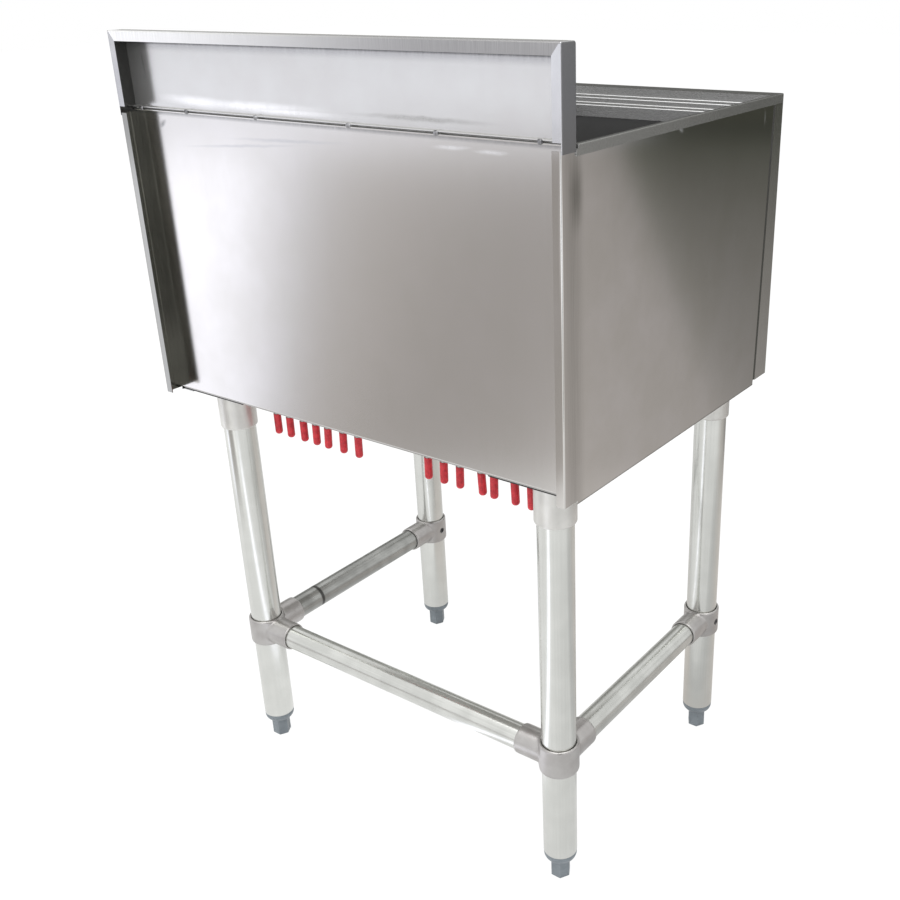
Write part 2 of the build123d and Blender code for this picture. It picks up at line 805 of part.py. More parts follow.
# Braces: one across the back and one along each side
with BuildPart() as brace_rear:
    start = Plane(origin=(branch_seat - leg_x, leg_rear_y, brace_height), z_dir=(1, 0, 0))
    pipe(start, brace_radius, brace_wall, 2 * (leg_x - branch_seat))
finish(brace_rear, "brace_rear")


def side_brace(x, name):
    """Brace from the front connector back to the rear one."""
    with BuildPart() as brace:
        start = Plane(origin=(x, leg_front_y + branch_seat, brace_height), z_dir=(0, 1, 0))
        pipe(start, brace_radius, brace_wall, leg_rear_y - leg_front_y - 2 * branch_seat)
    finish(brace, name)


side_brace(-leg_x, "brace_left")
side_brace(leg_x, "brace_right")


def set_screw(axis_point, way, near, far):
    """Grub screw with a hexagon socket, from the tube it grips out to its casting."""
    way = Vector(way).normalized()
    with BuildSketch(Plane(origin=axis_point + way * (near + screw_gap), z_dir=way)) as shank:
        Circle(screw_radius)
    extrude(shank.sketch, amount=far - near - screw_sink - screw_gap)
    with BuildSketch(Plane(origin=axis_point + way * (far - screw_sink), z_dir=way)) as key:
        RegularPolygon(screw_key / 2, 6, major_radius=False)
    extrude(key.sketch, amount=-screw_key_depth, mode=Mode.SUBTRACT)


with BuildPart() as socket_set_screws:
    for x, y in legs.values():
        screw_point = Vector(x, y, collar_bottom + socket_screw_height)
        set_screw(screw_point, (0, -1, 0), leg_radius, collar_outer)
finish(socket_set_screws, "socket_set_screws")

with BuildPart() as connector_set_screws:
    rings = (
        ("front_left", (-1, 0, 0), ring_outer, front_branches),
        ("front_right", (-1, 0, 0), ring_outer, front_branches),
        ("rear_left", left_crotch, crotch_reach, left_branches),
        ("rear_right", right_crotch, crotch_reach, right_branches),
    )
    for corner, ring_way, ring_reach, branches in rings:
        centre = Vector(*legs[corner], brace_height)
        set_screw(centre, ring_way, leg_radius, ring_reach)
        for way in branches:
            grip_point = centre + Vector(way) * branch_screw_reach
            set_screw(grip_point, (0, 0, -1), brace_radius, branch_radius)
finish(connector_set_screws, "connector_set_screws")
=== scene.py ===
# %% [markdown]
# Underbar ice bin
# A stainless box on a tubular stand, seen from behind and a little above. The packed
# model gives every steel sheet, tube and casting its true shape and place. This lesson
# gives them their finishes, adds the tack welds and the rounded castings that the model
# leaves out, and lights the whole as a studio does.

import math

import bmesh
import bpy
import numpy as np
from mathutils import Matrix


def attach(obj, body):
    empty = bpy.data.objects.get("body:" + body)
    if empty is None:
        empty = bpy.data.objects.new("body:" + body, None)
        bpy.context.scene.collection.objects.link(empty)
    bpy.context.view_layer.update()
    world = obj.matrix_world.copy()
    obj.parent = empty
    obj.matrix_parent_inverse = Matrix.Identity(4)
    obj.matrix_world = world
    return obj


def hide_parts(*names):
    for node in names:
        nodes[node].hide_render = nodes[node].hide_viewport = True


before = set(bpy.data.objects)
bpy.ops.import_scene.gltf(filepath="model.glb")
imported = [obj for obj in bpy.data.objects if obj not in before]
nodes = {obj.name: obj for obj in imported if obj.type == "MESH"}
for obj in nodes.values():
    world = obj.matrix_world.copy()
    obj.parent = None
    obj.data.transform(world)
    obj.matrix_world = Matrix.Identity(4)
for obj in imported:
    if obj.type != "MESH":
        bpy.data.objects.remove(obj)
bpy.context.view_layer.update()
MM = 0.001


# %% [markdown]
# Small helpers carry the whole lesson. Colours are written as the sRGB hex values
# that a paint card or a picture gives, and Blender wants them linear, so one function
# turns them. Materials are graphs of nodes, and one function adds any node with its
# settings and its links, which keeps each recipe short enough to read.

# %% Helpers for colours and nodes


def linear(colour):
    """Linear RGBA of an sRGB hex: each channel is raised by the sRGB curve. A value that
    isn't a hex colour is passed on as it is."""
    if not isinstance(colour, str):
        return colour
    raw = np.array([int(colour[i : i + 2], 16) for i in (1, 3, 5)]) / 255
    curve = np.where(raw <= 0.04045, raw / 12.92, ((raw + 0.055) / 1.055) ** 2.4)
    return (*curve.tolist(), 1.0)


def add_node(tree, kind, settings=None, **inputs):
    """Adds a node. Settings are its properties, or the stops of a colour ramp as places
    with colours. Inputs are sockets, hex colours or values, and _6 is input number 6."""
    node = tree.nodes.new(kind)
    for name, value in (settings or {}).items():
        if name != "stops":
            setattr(node, name, value)
            continue
        elements = node.color_ramp.elements
        while len(elements) < len(value):
            elements.new(0.5)
        for element, (place, colour) in zip(elements, value):
            element.position = place
            element.color = linear(colour)
    for name, value in inputs.items():
        key = int(name[1:]) if name[0] == "_" and name[1:].isdigit() else name.replace("_", " ")
        if isinstance(value, bpy.types.NodeSocket):
            tree.links.new(value, node.inputs[key])
        else:
            node.inputs[key].default_value = linear(value)
    return node


def new_material(name):
    """Empty node material with its output node."""
    material = bpy.data.materials.new(name)
    material.use_nodes = True
    tree = material.node_tree
    tree.nodes.clear()
    return material, tree, tree.nodes.new("ShaderNodeOutputMaterial")


print("mid grey is linear", round(linear("#808080")[0], 3))

# %% [markdown]
# Sheet metal carries marks of its making: ground spots, smears and stains. Painted light
# and shade, such as the shade along a seam, is laid on in the same way. Each is drawn as a
# soft oval in space, which tints and roughens whatever surface passes through it. An oval
# needs no picture and no flat map, and it stays where it is from every side. ALONG as a
# half length lets an oval run through the whole object.

# %% Marks on a surface
ALONG = 1e9


def oval_mark(tree, place, centre_mm, half_mm, turn_deg, soft):
    """Share from 0 to 1 of a soft oval mark. The place is taken to the oval's own frame by
    the inverse of its move, turn and half lengths, where its rim is 1 from the middle."""
    local = add_node(
        tree, "ShaderNodeMapping", {"vector_type": "TEXTURE"}, Vector=place,
        Location=[value * MM for value in centre_mm],
        Rotation=[math.radians(angle) for angle in turn_deg],
        Scale=[value * MM for value in half_mm],
    )
    out = add_node(tree, "ShaderNodeVectorMath", {"operation": "LENGTH"}, _0=local.outputs[0])
    inside = add_node(
        tree, "ShaderNodeMapRange", {"interpolation_type": "SMOOTHSTEP"},
        Value=out.outputs["Value"], From_Min=1.0, From_Max=1.0 - soft,
    )
    return inside.outputs[0]


def strongest(tree, shares):
    """The largest of several shares at each point."""
    most = shares[0]
    for share in shares[1:]:
        most = add_node(
            tree, "ShaderNodeMath", {"operation": "MAXIMUM"}, _0=most, _1=share
        ).outputs[0]
    return most


def marked(tree, colour, rough, share, tone, roughening):
    """Colour and roughness with a mark laid over them, as far as its share goes."""
    colour = add_node(
        tree, "ShaderNodeMix", {"data_type": "RGBA"}, Factor=share, _6=colour, _7=tone
    )
    rough = add_node(
        tree, "ShaderNodeMath", {"operation": "MULTIPLY_ADD"}, _0=share, _1=roughening, _2=rough
    )
    return colour.outputs[2], rough.outputs[0]


print("an oval of ALONG runs for", ALONG * MM, "m")

# %% [markdown]
# Rolling, brushing and drawing all leave fine lines along the metal. Noise that is
# stretched along one axis gives them. A second noise sways the places that a mark is
# read from, so that smears and stains get an uneven rim, as wiped metal has.

# %% Lines and uneven rims
SWAY_MM = 3.0
SWAY_LENGTH_MM = 15
RAGGED_FROM = 0.85


def drawn_lines(tree, place, width_mm, length_mm, axis, detail):
    """Noise from 0 to 1, in lines of a width and a length along one axis."""
    scale = [1 / (width_mm * MM)] * 3
    scale[axis] = 1 / (length_mm * MM)
    lines_place = add_node(tree, "ShaderNodeMapping", Vector=place, Scale=scale)
    lines = add_node(
        tree, "ShaderNodeTexNoise", Vector=lines_place.outputs[0], Scale=1.0, Detail=detail
    )
    return lines.outputs[0]


def swayed(tree, place):
    """The place, moved by up to half of SWAY_MM each way by noise."""
    sway = add_node(
        tree, "ShaderNodeTexNoise", Vector=place, Scale=1 / (SWAY_LENGTH_MM * MM), Detail=3.0
    )
    moved = add_node(
        tree, "ShaderNodeVectorMath", {"operation": "MULTIPLY_ADD"},
        _0=sway.outputs["Color"], _1=[SWAY_MM * MM] * 3, _2=[-SWAY_MM / 2 * MM] * 3,
    )
    return add_node(
        tree, "ShaderNodeVectorMath", {"operation": "ADD"}, _0=place, _1=moved.outputs[0]
    ).outputs[0]


print("rims sway by", SWAY_MM, "mm over", SWAY_LENGTH_MM, "mm")

# %% [markdown]
# The skin is stainless sheet, cold rolled and lightly brushed. Rolling and brushing leave
# hair-thin lines along the sheet, and handling leaves faint clouds. A metal has no colour
# of its own except in its reflection, so the tone is set on the base colour, and the
# lines and clouds vary the roughness and tilt the surface by a few hundredths of a
# millimetre. Real lines are about 0.05 mm apart, too fine for the picture, so they are
# drawn ten times as coarse.

# %% Stainless sheet
GRAIN_MM = 0.5
GRAIN_LENGTH_MM = 60
GRAIN_DEPTH_MM = 0.05
GRAIN_SHOWS = 0.06
GRAIN_ROUGHENS = 0.05
CLOUD_MM = 70
BARE = 1.0


def stainless_sheet(
    name, tone, cloud_tone, roughness, grain_axis, marks=(), bare=BARE, glance="#ffffff"
):
    """Brushed stainless: clouds mix two tones, lines along one axis roughen it, and each
    mark is (ovals, tone, change of roughness). The softest ovals get ragged rims. Bare is
    how far no film covers the metal, and glance tints what it mirrors at a low angle."""
    material, tree, output = new_material(name)
    place = add_node(tree, "ShaderNodeTexCoord").outputs["Object"]
    lines = drawn_lines(tree, place, GRAIN_MM, GRAIN_LENGTH_MM, grain_axis, 3.0)
    clouds = add_node(
        tree, "ShaderNodeTexNoise", Vector=place,
        Scale=1 / (CLOUD_MM * MM), Detail=3.0, Roughness=0.6,
    ).outputs[0]
    colour = add_node(
        tree, "ShaderNodeValToRGB", {"stops": [(0.35, tone), (0.65, cloud_tone)]}, Fac=clouds
    ).outputs[0]
    cloudy = add_node(
        tree, "ShaderNodeMapRange", Value=clouds, To_Min=roughness - 0.02, To_Max=roughness + 0.03
    )
    rough = add_node(
        tree, "ShaderNodeMath", {"operation": "MULTIPLY_ADD"},
        _0=lines, _1=GRAIN_ROUGHENS, _2=cloudy.outputs[0],
    ).outputs[0]
    ragged = swayed(tree, place)
    streaks = add_node(
        tree, "ShaderNodeMapRange", Value=lines, From_Min=0.3, From_Max=0.6, To_Min=0.6
    ).outputs[0]
    for ovals, mark_tone, roughening in marks:
        shares = [
            oval_mark(tree, ragged if oval[3] > RAGGED_FROM else place, *oval) for oval in ovals
        ]
        share = add_node(
            tree, "ShaderNodeMath", {"operation": "MULTIPLY"},
            _0=strongest(tree, shares), _1=streaks,
        ).outputs[0]
        colour, rough = marked(tree, colour, rough, share, mark_tone, roughening)
    bump = add_node(
        tree, "ShaderNodeBump", Height=lines, Strength=GRAIN_SHOWS, Distance=GRAIN_DEPTH_MM * MM
    )
    shader = add_node(
        tree, "ShaderNodeBsdfPrincipled", Base_Color=colour, Roughness=rough,
        Normal=bump.outputs[0], Metallic=bare, Specular_Tint=glance,
    )
    tree.links.new(shader.outputs[0], output.inputs[0])
    return material


print("sheet grain", GRAIN_MM, "mm, clouds", CLOUD_MM, "mm")

# %% [markdown]
# Light and shade fall differently on each face of a folded sheet, and here they are
# painted into its colour: the direction that a face points in chooses a lighter or darker
# painted tone. A bend turns from one to the other.

# %% Painted light and shade on the faces that point one way
FACES_FROM = 0.5
FACES_WHOLLY = 0.8


def facing_painted_light(material, axis, sign, tone, fade_mm=None):
    """Paints a lighter or darker tone on the faces whose normal points along an axis, with the
    sign, as painted light and shade. With two heights it grows from nothing at the first to
    the whole at the second."""
    tree = material.node_tree
    shader = tree.nodes["Principled BSDF"]
    usual = shader.inputs["Base Color"].links[0].from_socket
    normal = add_node(tree, "ShaderNodeNewGeometry").outputs["Normal"]
    parts = add_node(tree, "ShaderNodeSeparateXYZ", Vector=normal)
    share = add_node(
        tree, "ShaderNodeMapRange", Value=parts.outputs[axis],
        From_Min=FACES_FROM * sign, From_Max=FACES_WHOLLY * sign,
    ).outputs[0]
    if fade_mm:
        place = add_node(tree, "ShaderNodeTexCoord").outputs["Object"]
        height = add_node(tree, "ShaderNodeSeparateXYZ", Vector=place).outputs["Z"]
        growth = add_node(
            tree, "ShaderNodeMapRange", Value=height,
            From_Min=fade_mm[0] * MM, From_Max=fade_mm[1] * MM,
        )
        share = add_node(
            tree, "ShaderNodeMath", {"operation": "MULTIPLY"}, _0=share, _1=growth.outputs[0]
        ).outputs[0]
    # The painted tone, lighter or darker, laid over the usual colour.
    painted_face = add_node(
        tree, "ShaderNodeMix", {"data_type": "RGBA"}, Factor=share, _6=usual, _7=tone
    )
    tree.links.new(painted_face.outputs[2], shader.inputs["Base Color"])


print("a face counts from", round(math.degrees(math.acos(FACES_FROM))), "degrees off its axis")

# %% [markdown]
# The rear skin is the largest sheet. Below the seam it keeps two bright ground smears, a
# long haze and one smudge from a finger. Painted shade darkens the seam's gap and a band
# just below the lower lip, and a band of painted shade darkens the cut edge at the bottom.

# %% Rear skin
# Painted shade: the dark line in the open gap of the seam.
seam_gap_shade = [((0, 212, 890), (ALONG, 4, 1.5), (0, 0, 0), 0.5)]
rear_smears = [
    ((-165, 0, 877), (30, ALONG, 3.2), (0, 2, 0), 1.0),
    ((-212, 0, 876), (26, ALONG, 3.0), (0, 2, 0), 1.0),
]
rear_haze = [
    ((60, 0, 868), (110, ALONG, 3.0), (0, 2, 0), 1.0),
    ((130, 0, 858), (120, ALONG, 2.5), (0, 4, 0), 1.0),
]
rear_smudge = [((259, 0, 874), (10, ALONG, 4.0), (0, 32, 0), 1.0)]
# Painted shadow just below the lower lip of the seam.
shadow_under_seam = [((0, 206, 887.0), (ALONG, 4, 5.0), (0, 0, 0), 0.85)]
# Painted shade along the bottom edge.
rear_bottom_shade = [((0, 0, 544.5), (ALONG, ALONG, 4.0), (0, 0, 0), 0.6)]
rear_steel = stainless_sheet(
    "stainless_rear_sheet", "#dcdad8", "#d8d6d3", 0.14, 2,
    [
        (rear_smears, "#f0f0f0", 0.1), (rear_haze, "#cccccd", 0.06),
        (rear_smudge, "#a4a4a4", 0.1), (shadow_under_seam, "#9c9c9c", 0.05),
        (seam_gap_shade, "#2c2c2c", 0.2), (rear_bottom_shade, "#5c5c5a", 0.0),
    ],
)
print("rear skin marks", len(rear_smears) + len(rear_haze) + len(rear_smudge))

# %% [markdown]
# The left skin is the smoothest sheet, so it mirrors the black cloth with a clear edge.
# It has a grey stain near its rear edge, two small ground smears, a painted highlight
# along its rear corner bend and painted shade along its bottom edge. The right skin shows
# only the inner face of its return, which lies in the shade behind the box: that shade is
# painted on its faces and grows darker towards the bottom.

# %% Side skins
side_stain = [((0, 206, 846), (ALONG, 15, 46), (0, 0, 0), 1.0)]
side_edge = [((-306, 212, 0), (6, 24, ALONG), (0, 0, 0), 0.85)]
# Painted highlight along the rear corner bend.
side_corner_highlight = [((-303, 229, 800), (3.5, 3, 110), (0, 0, 0), 0.85)]
# Painted shade along the bottom edge.
side_bottom_shade = [((0, 0, 540.5), (ALONG, ALONG, 3.6), (0, 0, 0), 0.6)]
side_smear = [
    ((0, 16, 879), (ALONG, 9, 4), (35, 0, 0), 1.0),
    ((0, -182, 868), (ALONG, 3, 15), (0, 0, 0), 1.0),
]
return_line = [((303, 217, 0), (6, 1.0, ALONG), (0, 0, 0), 0.4)]
side_left_steel = stainless_sheet(
    "stainless_left_side_sheet", "#dad8d6", "#d4d2ce", 0.05, 2,
    [
        (side_edge, "#b4b2ae", 0.0), (side_stain, "#8c8b86", 0.03),
        (side_smear, "#eceef0", 0.18), (side_corner_highlight, "#ffffff", 0.05),
        (side_bottom_shade, "#727270", 0.0),
    ],
)
side_right_steel = stainless_sheet(
    "stainless_right_side_sheet", "#dad8d6", "#d4d2ce", 0.10, 2, [(return_line, "#3c3c38", 0.1)]
)
# Painted shade on the return's faces, darker towards the bottom, and on the faces that point
# back.
facing_painted_light(side_right_steel, "X", -1, "#bcbcb2")
facing_painted_light(side_right_steel, "X", -1, "#5c5c56", (800, 570))
facing_painted_light(side_right_steel, "Y", 1, "#9a9a96")
print("side skins ready")

# %% [markdown]
# The splash keeps a thin clear film from its making, which scatters a fifth of the light
# and greys what it mirrors. The flange that is folded back along its top is brushed
# harder than its face, and painted shadow darkens the face below it, darkest in the
# corner. Painted shade lies in the seam's gap. The band above the seam was polished
# after the welding, and one corner has a scratch.

# %% Splash and its end plates
FILMED = 0.8
splash_flange = [((0, 231, 972), (ALONG, 12, 14), (0, 0, 0), 0.1)]
flange_shine = [((303, 231, 972), (500, 23, ALONG), (0, 0, 0), 1.0)]
# Painted shadow below the flange, darkest in the corner line.
splash_shadow_fade = [((0, 206, 963), (ALONG, 6, 13), (0, 0, 0), 0.85)]
splash_corner_shadow = [((0, 206, 962.5), (ALONG, 6, 4.2), (0, 0, 0), 0.8)]
splash_polish = [
    ((110, 206, 900.5), (140, 7, 7.0), (0, 0.5, 0), 1.0),
    ((190, 206, 901), (80, 7, 8.0), (0, -2, 0), 1.0),
    ((60, 206, 897.5), (110, 7, 5.0), (0, 0, 0), 1.0),
]
splash_smear = [((-130, 206, 901.0), (115, 6, 4.0), (0, 0, 0), 1.0)]
splash_scratch = [
    ((278, 206, 939), (0.9, 6, 16), (0, 8, 0), 0.8),
    ((280.5, 206, 924), (1.4, 6, 1.6), (0, 0, 0), 0.6),
]
splash_steel = stainless_sheet(
    "stainless_splash_sheet", "#d6d6d5", "#d2d1d0", 0.16, 2,
    [
        (splash_shadow_fade, "#aaaaac", 0.0), (splash_smear, "#b0b0ae", 0.1),
        (splash_polish, "#ffffff", 0.03), (splash_scratch, "#1c1c1e", 0.1),
        (splash_corner_shadow, "#3a3a3c", 0.1), (splash_flange, "#989798", 0.16),
        (flange_shine, "#ffffff", 0.0), (seam_gap_shade, "#2c2c2c", 0.2),
    ],
    bare=FILMED,
)
left_end_steel = stainless_sheet("stainless_left_end_plate", "#dadadc", "#cecfd1", 0.20, 2)
# Painted shade on the faces that point to -X.
facing_painted_light(left_end_steel, "X", -1, "#929292")
right_end_steel = stainless_sheet("stainless_right_end_plate", "#d0d0d0", "#b8b8ba", 0.20, 2)
# Painted shade on the faces that point to -X.
facing_painted_light(right_end_steel, "X", -1, "#646462")
print("splash film leaves", FILMED, "of the metal bare")

# %% [markdown]
# The rim is wiped every day, so it is duller than the skins: the same film lies on it,
# and the grime in its steps greys what it mirrors at a low angle. An edge of red film is
# left at the far side. The liner below it is drawn sheet with a satin finish.

# %% Rim and liner
film_edge = [((-240, -228, 892), (72, 5, 3), (0, 0, 0), 0.8)]
rim_steel = stainless_sheet(
    "stainless_folded_rim", "#cfcecc", "#c2c1bf", 0.24, 0, [(film_edge, "#c98c92", 0.05)],
    bare=FILMED, glance="#b0b0b0",
)
# Painted light and shade by facing: the outer side and the flat tops darker, the risers that face
# back lighter.
facing_painted_light(rim_steel, "X", -1, "#a2a29e")
facing_painted_light(rim_steel, "Y", 1, "#ececec")
facing_painted_light(rim_steel, "Z", 1, "#6c6c6a")
liner_steel = stainless_sheet("stainless_drawn_liner", "#c2c1be", "#b4b3b0", 0.30, 0)
print("rim and liner ready")

# %% [markdown]
# The apron is one bent sheet, and where its side return ends, the sheet's cut edge faces
# back into the narrow gap beside the side skin. No light gets in there, so faces that
# point backwards get a painted shade.

# %% Apron sheet with dark cut edges
apron_steel = stainless_sheet("stainless_apron_sheet", "#deddda", "#d6d4d2", 0.15, 2)
# Painted shade on the cut edges that face back.
facing_painted_light(apron_steel, "Y", 1, "#62625e")
print("apron ready")

# %% [markdown]
# The legs and braces are drawn steel tube with a thin electroplated coat of zinc. Drawing
# leaves faint lines along the tube, and the coat dulls to a pale grey with soft cloudy
# patches. On a round tube the lines show as narrow bands. Real ones are about half a
# millimetre wide, and they are drawn four times as coarse. One brace gets a darker
# painted tone and a painted dark ring, which are painted reflection of dark surroundings
# and of a leg.

# %% Zinc plated tube
DRAW_LINE_MM = 2.2
DRAW_LENGTH_MM = 260
PATCH_MM = 26


def plated_tube(name, bright, dull, roughness, axis, marks=()):
    """Plated tube: drawn lines along its axis and clouds mix two tones and roughen it."""
    material, tree, output = new_material(name)
    place = add_node(tree, "ShaderNodeTexCoord").outputs["Object"]
    lines = drawn_lines(tree, place, DRAW_LINE_MM, DRAW_LENGTH_MM, axis, 2.0)
    patches = add_node(
        tree, "ShaderNodeTexNoise", Vector=place, Scale=1 / (PATCH_MM * MM), Detail=1.0
    )
    tone = add_node(
        tree, "ShaderNodeMath", {"operation": "MULTIPLY_ADD"},
        _0=lines, _1=0.7, _2=patches.outputs[0],
    ).outputs[0]
    colour = add_node(
        tree, "ShaderNodeValToRGB", {"stops": [(0.6, bright), (1.0, dull)]}, Fac=tone
    ).outputs[0]
    rough = add_node(
        tree, "ShaderNodeMapRange", Value=tone, From_Min=0.5, From_Max=1.2,
        To_Min=roughness - 0.02, To_Max=roughness + 0.04,
    ).outputs[0]
    for ovals, mark_tone, roughening in marks:
        share = strongest(tree, [oval_mark(tree, place, *oval) for oval in ovals])
        colour, rough = marked(tree, colour, rough, share, mark_tone, roughening)
    shader = add_node(
        tree, "ShaderNodeBsdfPrincipled", Base_Color=colour, Roughness=rough, Metallic=BARE
    )
    tree.links.new(shader.outputs[0], output.inputs[0])
    return material


# Painted reflection: a dark ring where the brace mirrors a leg.
painted_ring_reflection = [((249, 72, 183), (40, 4, 40), (0, 0, 0), 0.5)]
leg_zinc = plated_tube("zinc_plated_leg_tube", "#dedfdb", "#d8d9d5", 0.20, 2)
brace_zinc = plated_tube("zinc_plated_brace_tube", "#dfe0dc", "#d0d1cd", 0.22, 0)
side_brace_zinc = plated_tube("zinc_plated_side_brace", "#d6d7d3", "#c6c7c3", 0.24, 1)
# Painted dark tone for the brace's reflection of its dark surroundings.
painted_dark_brace_zinc = plated_tube(
    "zinc_side_brace_painted_dark", "#b2b3b0", "#9a9b98", 0.28, 1, [(painted_ring_reflection, "#555553", 0.1)]
)
print("tube lines", DRAW_LINE_MM, "mm apart")

# %% [markdown]
# The brace connectors are gravity castings with a grey satin coat, and the leg sockets
# are paler die castings. Both have the fine orange-peel skin of a casting: a soft sheen
# with no clear reflection. A coat mirrors less than bare metal, so it is metallic in part.

# %% Castings
CAST_CLOUD_MM = 22
CAST_GRAIN_MM = 1.2
CAST_DEPTH_MM = 0.08


def casting(name, tone, worn_tone, roughness, metallic):
    """Coated casting: two close tones by noise, and a bump with grains of a millimetre."""
    material, tree, output = new_material(name)
    place = add_node(tree, "ShaderNodeTexCoord").outputs["Object"]
    tones = add_node(
        tree, "ShaderNodeTexNoise", Vector=place, Scale=1 / (CAST_CLOUD_MM * MM), Detail=4.0
    )
    grains = add_node(
        tree, "ShaderNodeTexNoise", Vector=place, Scale=1 / (CAST_GRAIN_MM * MM), Detail=2.0
    )
    colour = add_node(
        tree, "ShaderNodeValToRGB", {"stops": [(0.38, tone), (0.66, worn_tone)]},
        Fac=tones.outputs[0],
    )
    bump = add_node(
        tree, "ShaderNodeBump", Height=grains.outputs[0], Strength=0.2,
        Distance=CAST_DEPTH_MM * MM,
    )
    shader = add_node(
        tree, "ShaderNodeBsdfPrincipled", Base_Color=colour.outputs[0],
        Normal=bump.outputs[0], Roughness=roughness, Metallic=metallic,
    )
    tree.links.new(shader.outputs[0], output.inputs[0])
    return material


connector_coat = casting("cast_connector_grey_coat", "#bdbbb9", "#b0adab", 0.34, 0.85)
socket_zinc = casting("die_cast_socket_zinc", "#dfdeda", "#d4d3cf", 0.38, 0.75)
plate_cast = casting("cast_aluminium_plate", "#c0c2c4", "#b0b2b4", 0.5, 1.0)
print("casting grain", CAST_GRAIN_MM, "mm")

# %% [markdown]
# Moulded and dipped plastics: the feet are a blue-grey glass-filled nylon, the tube caps
# are dipped red vinyl with a wet shine, the lids are black sheet with a matte grain,
# and the gasket is black rubber. Plastics get their colour from inside, so they aren't
# metallic, and their fine texture breaks the highlight. The same recipe does for the cut
# foam, the blacked screws, whose coat hides the metal, and the near-black gussets. Real
# moulded grain is about 0.2 mm wide, and it is drawn three to five times as coarse.

# %% Plastics, vinyl, foam and rubber


def moulded(name, tone, other_tone, roughness, grain_mm, depth_mm, shine=0.5, patch_mm=14):
    """Plastic with a soft change of tone, a fine even grain and a set amount of shine."""
    material, tree, output = new_material(name)
    place = add_node(tree, "ShaderNodeTexCoord").outputs["Object"]
    tones = add_node(
        tree, "ShaderNodeTexNoise", Vector=place, Scale=1 / (patch_mm * MM), Detail=3.0
    )
    grains = add_node(
        tree, "ShaderNodeTexNoise", Vector=place, Scale=1 / (grain_mm * MM), Detail=2.0
    )
    colour = add_node(
        tree, "ShaderNodeValToRGB", {"stops": [(0.35, tone), (0.7, other_tone)]},
        Fac=tones.outputs[0],
    )
    bump = add_node(
        tree, "ShaderNodeBump", Height=grains.outputs[0], Strength=0.3, Distance=depth_mm * MM
    )
    shader = add_node(
        tree, "ShaderNodeBsdfPrincipled", Base_Color=colour.outputs[0],
        Normal=bump.outputs[0], Roughness=roughness, Specular_IOR_Level=shine,
    )
    tree.links.new(shader.outputs[0], output.inputs[0])
    return material


foot_nylon = moulded("moulded_nylon_foot", "#868e94", "#777f85", 0.42, 1.0, 0.04)
cap_vinyl = moulded("dipped_red_vinyl", "#e23843", "#b8222f", 0.36, 2.5, 0.10, 0.4, 5)
lid_sheet = moulded("black_matte_lid_sheet", "#0a0a0a", "#0e0e0e", 0.55, 0.8, 0.05, 0.06)
foam_rigid = moulded("rigid_foam", "#e8dcae", "#dccf9c", 0.85, 1.5, 0.4)
gasket_rubber = moulded("gasket_rubber", "#1a1a1a", "#222222", 0.6, 1.0, 0.05)
screw_black = moulded("blacked_steel_screw", "#3a3a3c", "#454547", 0.4, 0.6, 0.02)
gusset_near_black = moulded("near_black_gusset", "#1b1b1c", "#242425", 0.5, 1.5, 0.03)
print("plastics ready")

# %% [markdown]
# The drain parts are chromed brass: a mirror that is slightly blue. Tiny changes of
# roughness keep it from looking like liquid.

# %% Chrome on the drain
SMEAR_MM = 12
chrome, tree, output = new_material("chromed_brass_drain")
place = add_node(tree, "ShaderNodeTexCoord").outputs["Object"]
smears = add_node(
    tree, "ShaderNodeTexNoise", Vector=place, Scale=1 / (SMEAR_MM * MM), Detail=2.0
)
rough = add_node(
    tree, "ShaderNodeMapRange", Value=smears.outputs[0], To_Min=0.06, To_Max=0.18
)
shader = add_node(
    tree, "ShaderNodeBsdfPrincipled", Base_Color="#d9dcdf",
    Roughness=rough.outputs[0], Metallic=BARE,
)
tree.links.new(shader.outputs[0], output.inputs[0])
print("chrome smears", SMEAR_MM, "mm")

# %% [markdown]
# Every node gets the finish of its real piece. The names say what each piece is, so
# their first words choose the material.

# %% Dress the nodes
finishes = {
    "rim_frame": rim_steel, "backsplash": splash_steel, "rear_panel": rear_steel,
    "splash_end_left": left_end_steel, "splash_end_right": right_end_steel,
    "side_panel_left": side_left_steel, "side_panel_right": side_right_steel,
    "front_apron": apron_steel, "base_panel": liner_steel, "liner": liner_steel,
    "cold_plate": plate_cast, "foam_insulation": foam_rigid,
    "circuit_tubes": liner_steel, "tube_caps": cap_vinyl,
    "drain_gasket": gasket_rubber, "drain_": chrome, "lid_": lid_sheet,
    "leg_socket_": socket_zinc, "leg_": leg_zinc, "foot_": foot_nylon,
    "connector_set_screws": screw_black, "connector_": connector_coat,
    "socket_set_screws": screw_black, "gusset_plates": gusset_near_black,
    "brace_rear": brace_zinc, "brace_left": side_brace_zinc, "brace_right": painted_dark_brace_zinc,
}


def dress(node_name):
    """Puts the finish whose key starts the node's name on all its faces."""
    key = next(key for key in finishes if node_name.startswith(key))
    mesh = nodes[node_name].data
    mesh.materials.clear()
    mesh.materials.append(finishes[key])


for node_name in sorted(nodes):
    dress(node_name)
print("dressed", len(nodes), "nodes")

# %% [markdown]
# The splash and the rear skin are two sheets whose folded lips lie one above the other,
# joined by short tack welds. Each tack is a small bead of melted steel, so it is a
# rounded lump a little wider than high, and no two are alike. The lump is a sphere whose
# radius is stretched along the seam and rippled by a few waves.

# %% Form of a tack weld
TACK_HALF = np.array([3.4, 1.8, 2.7])
AROUND, POLE_TO_POLE = 24, 13


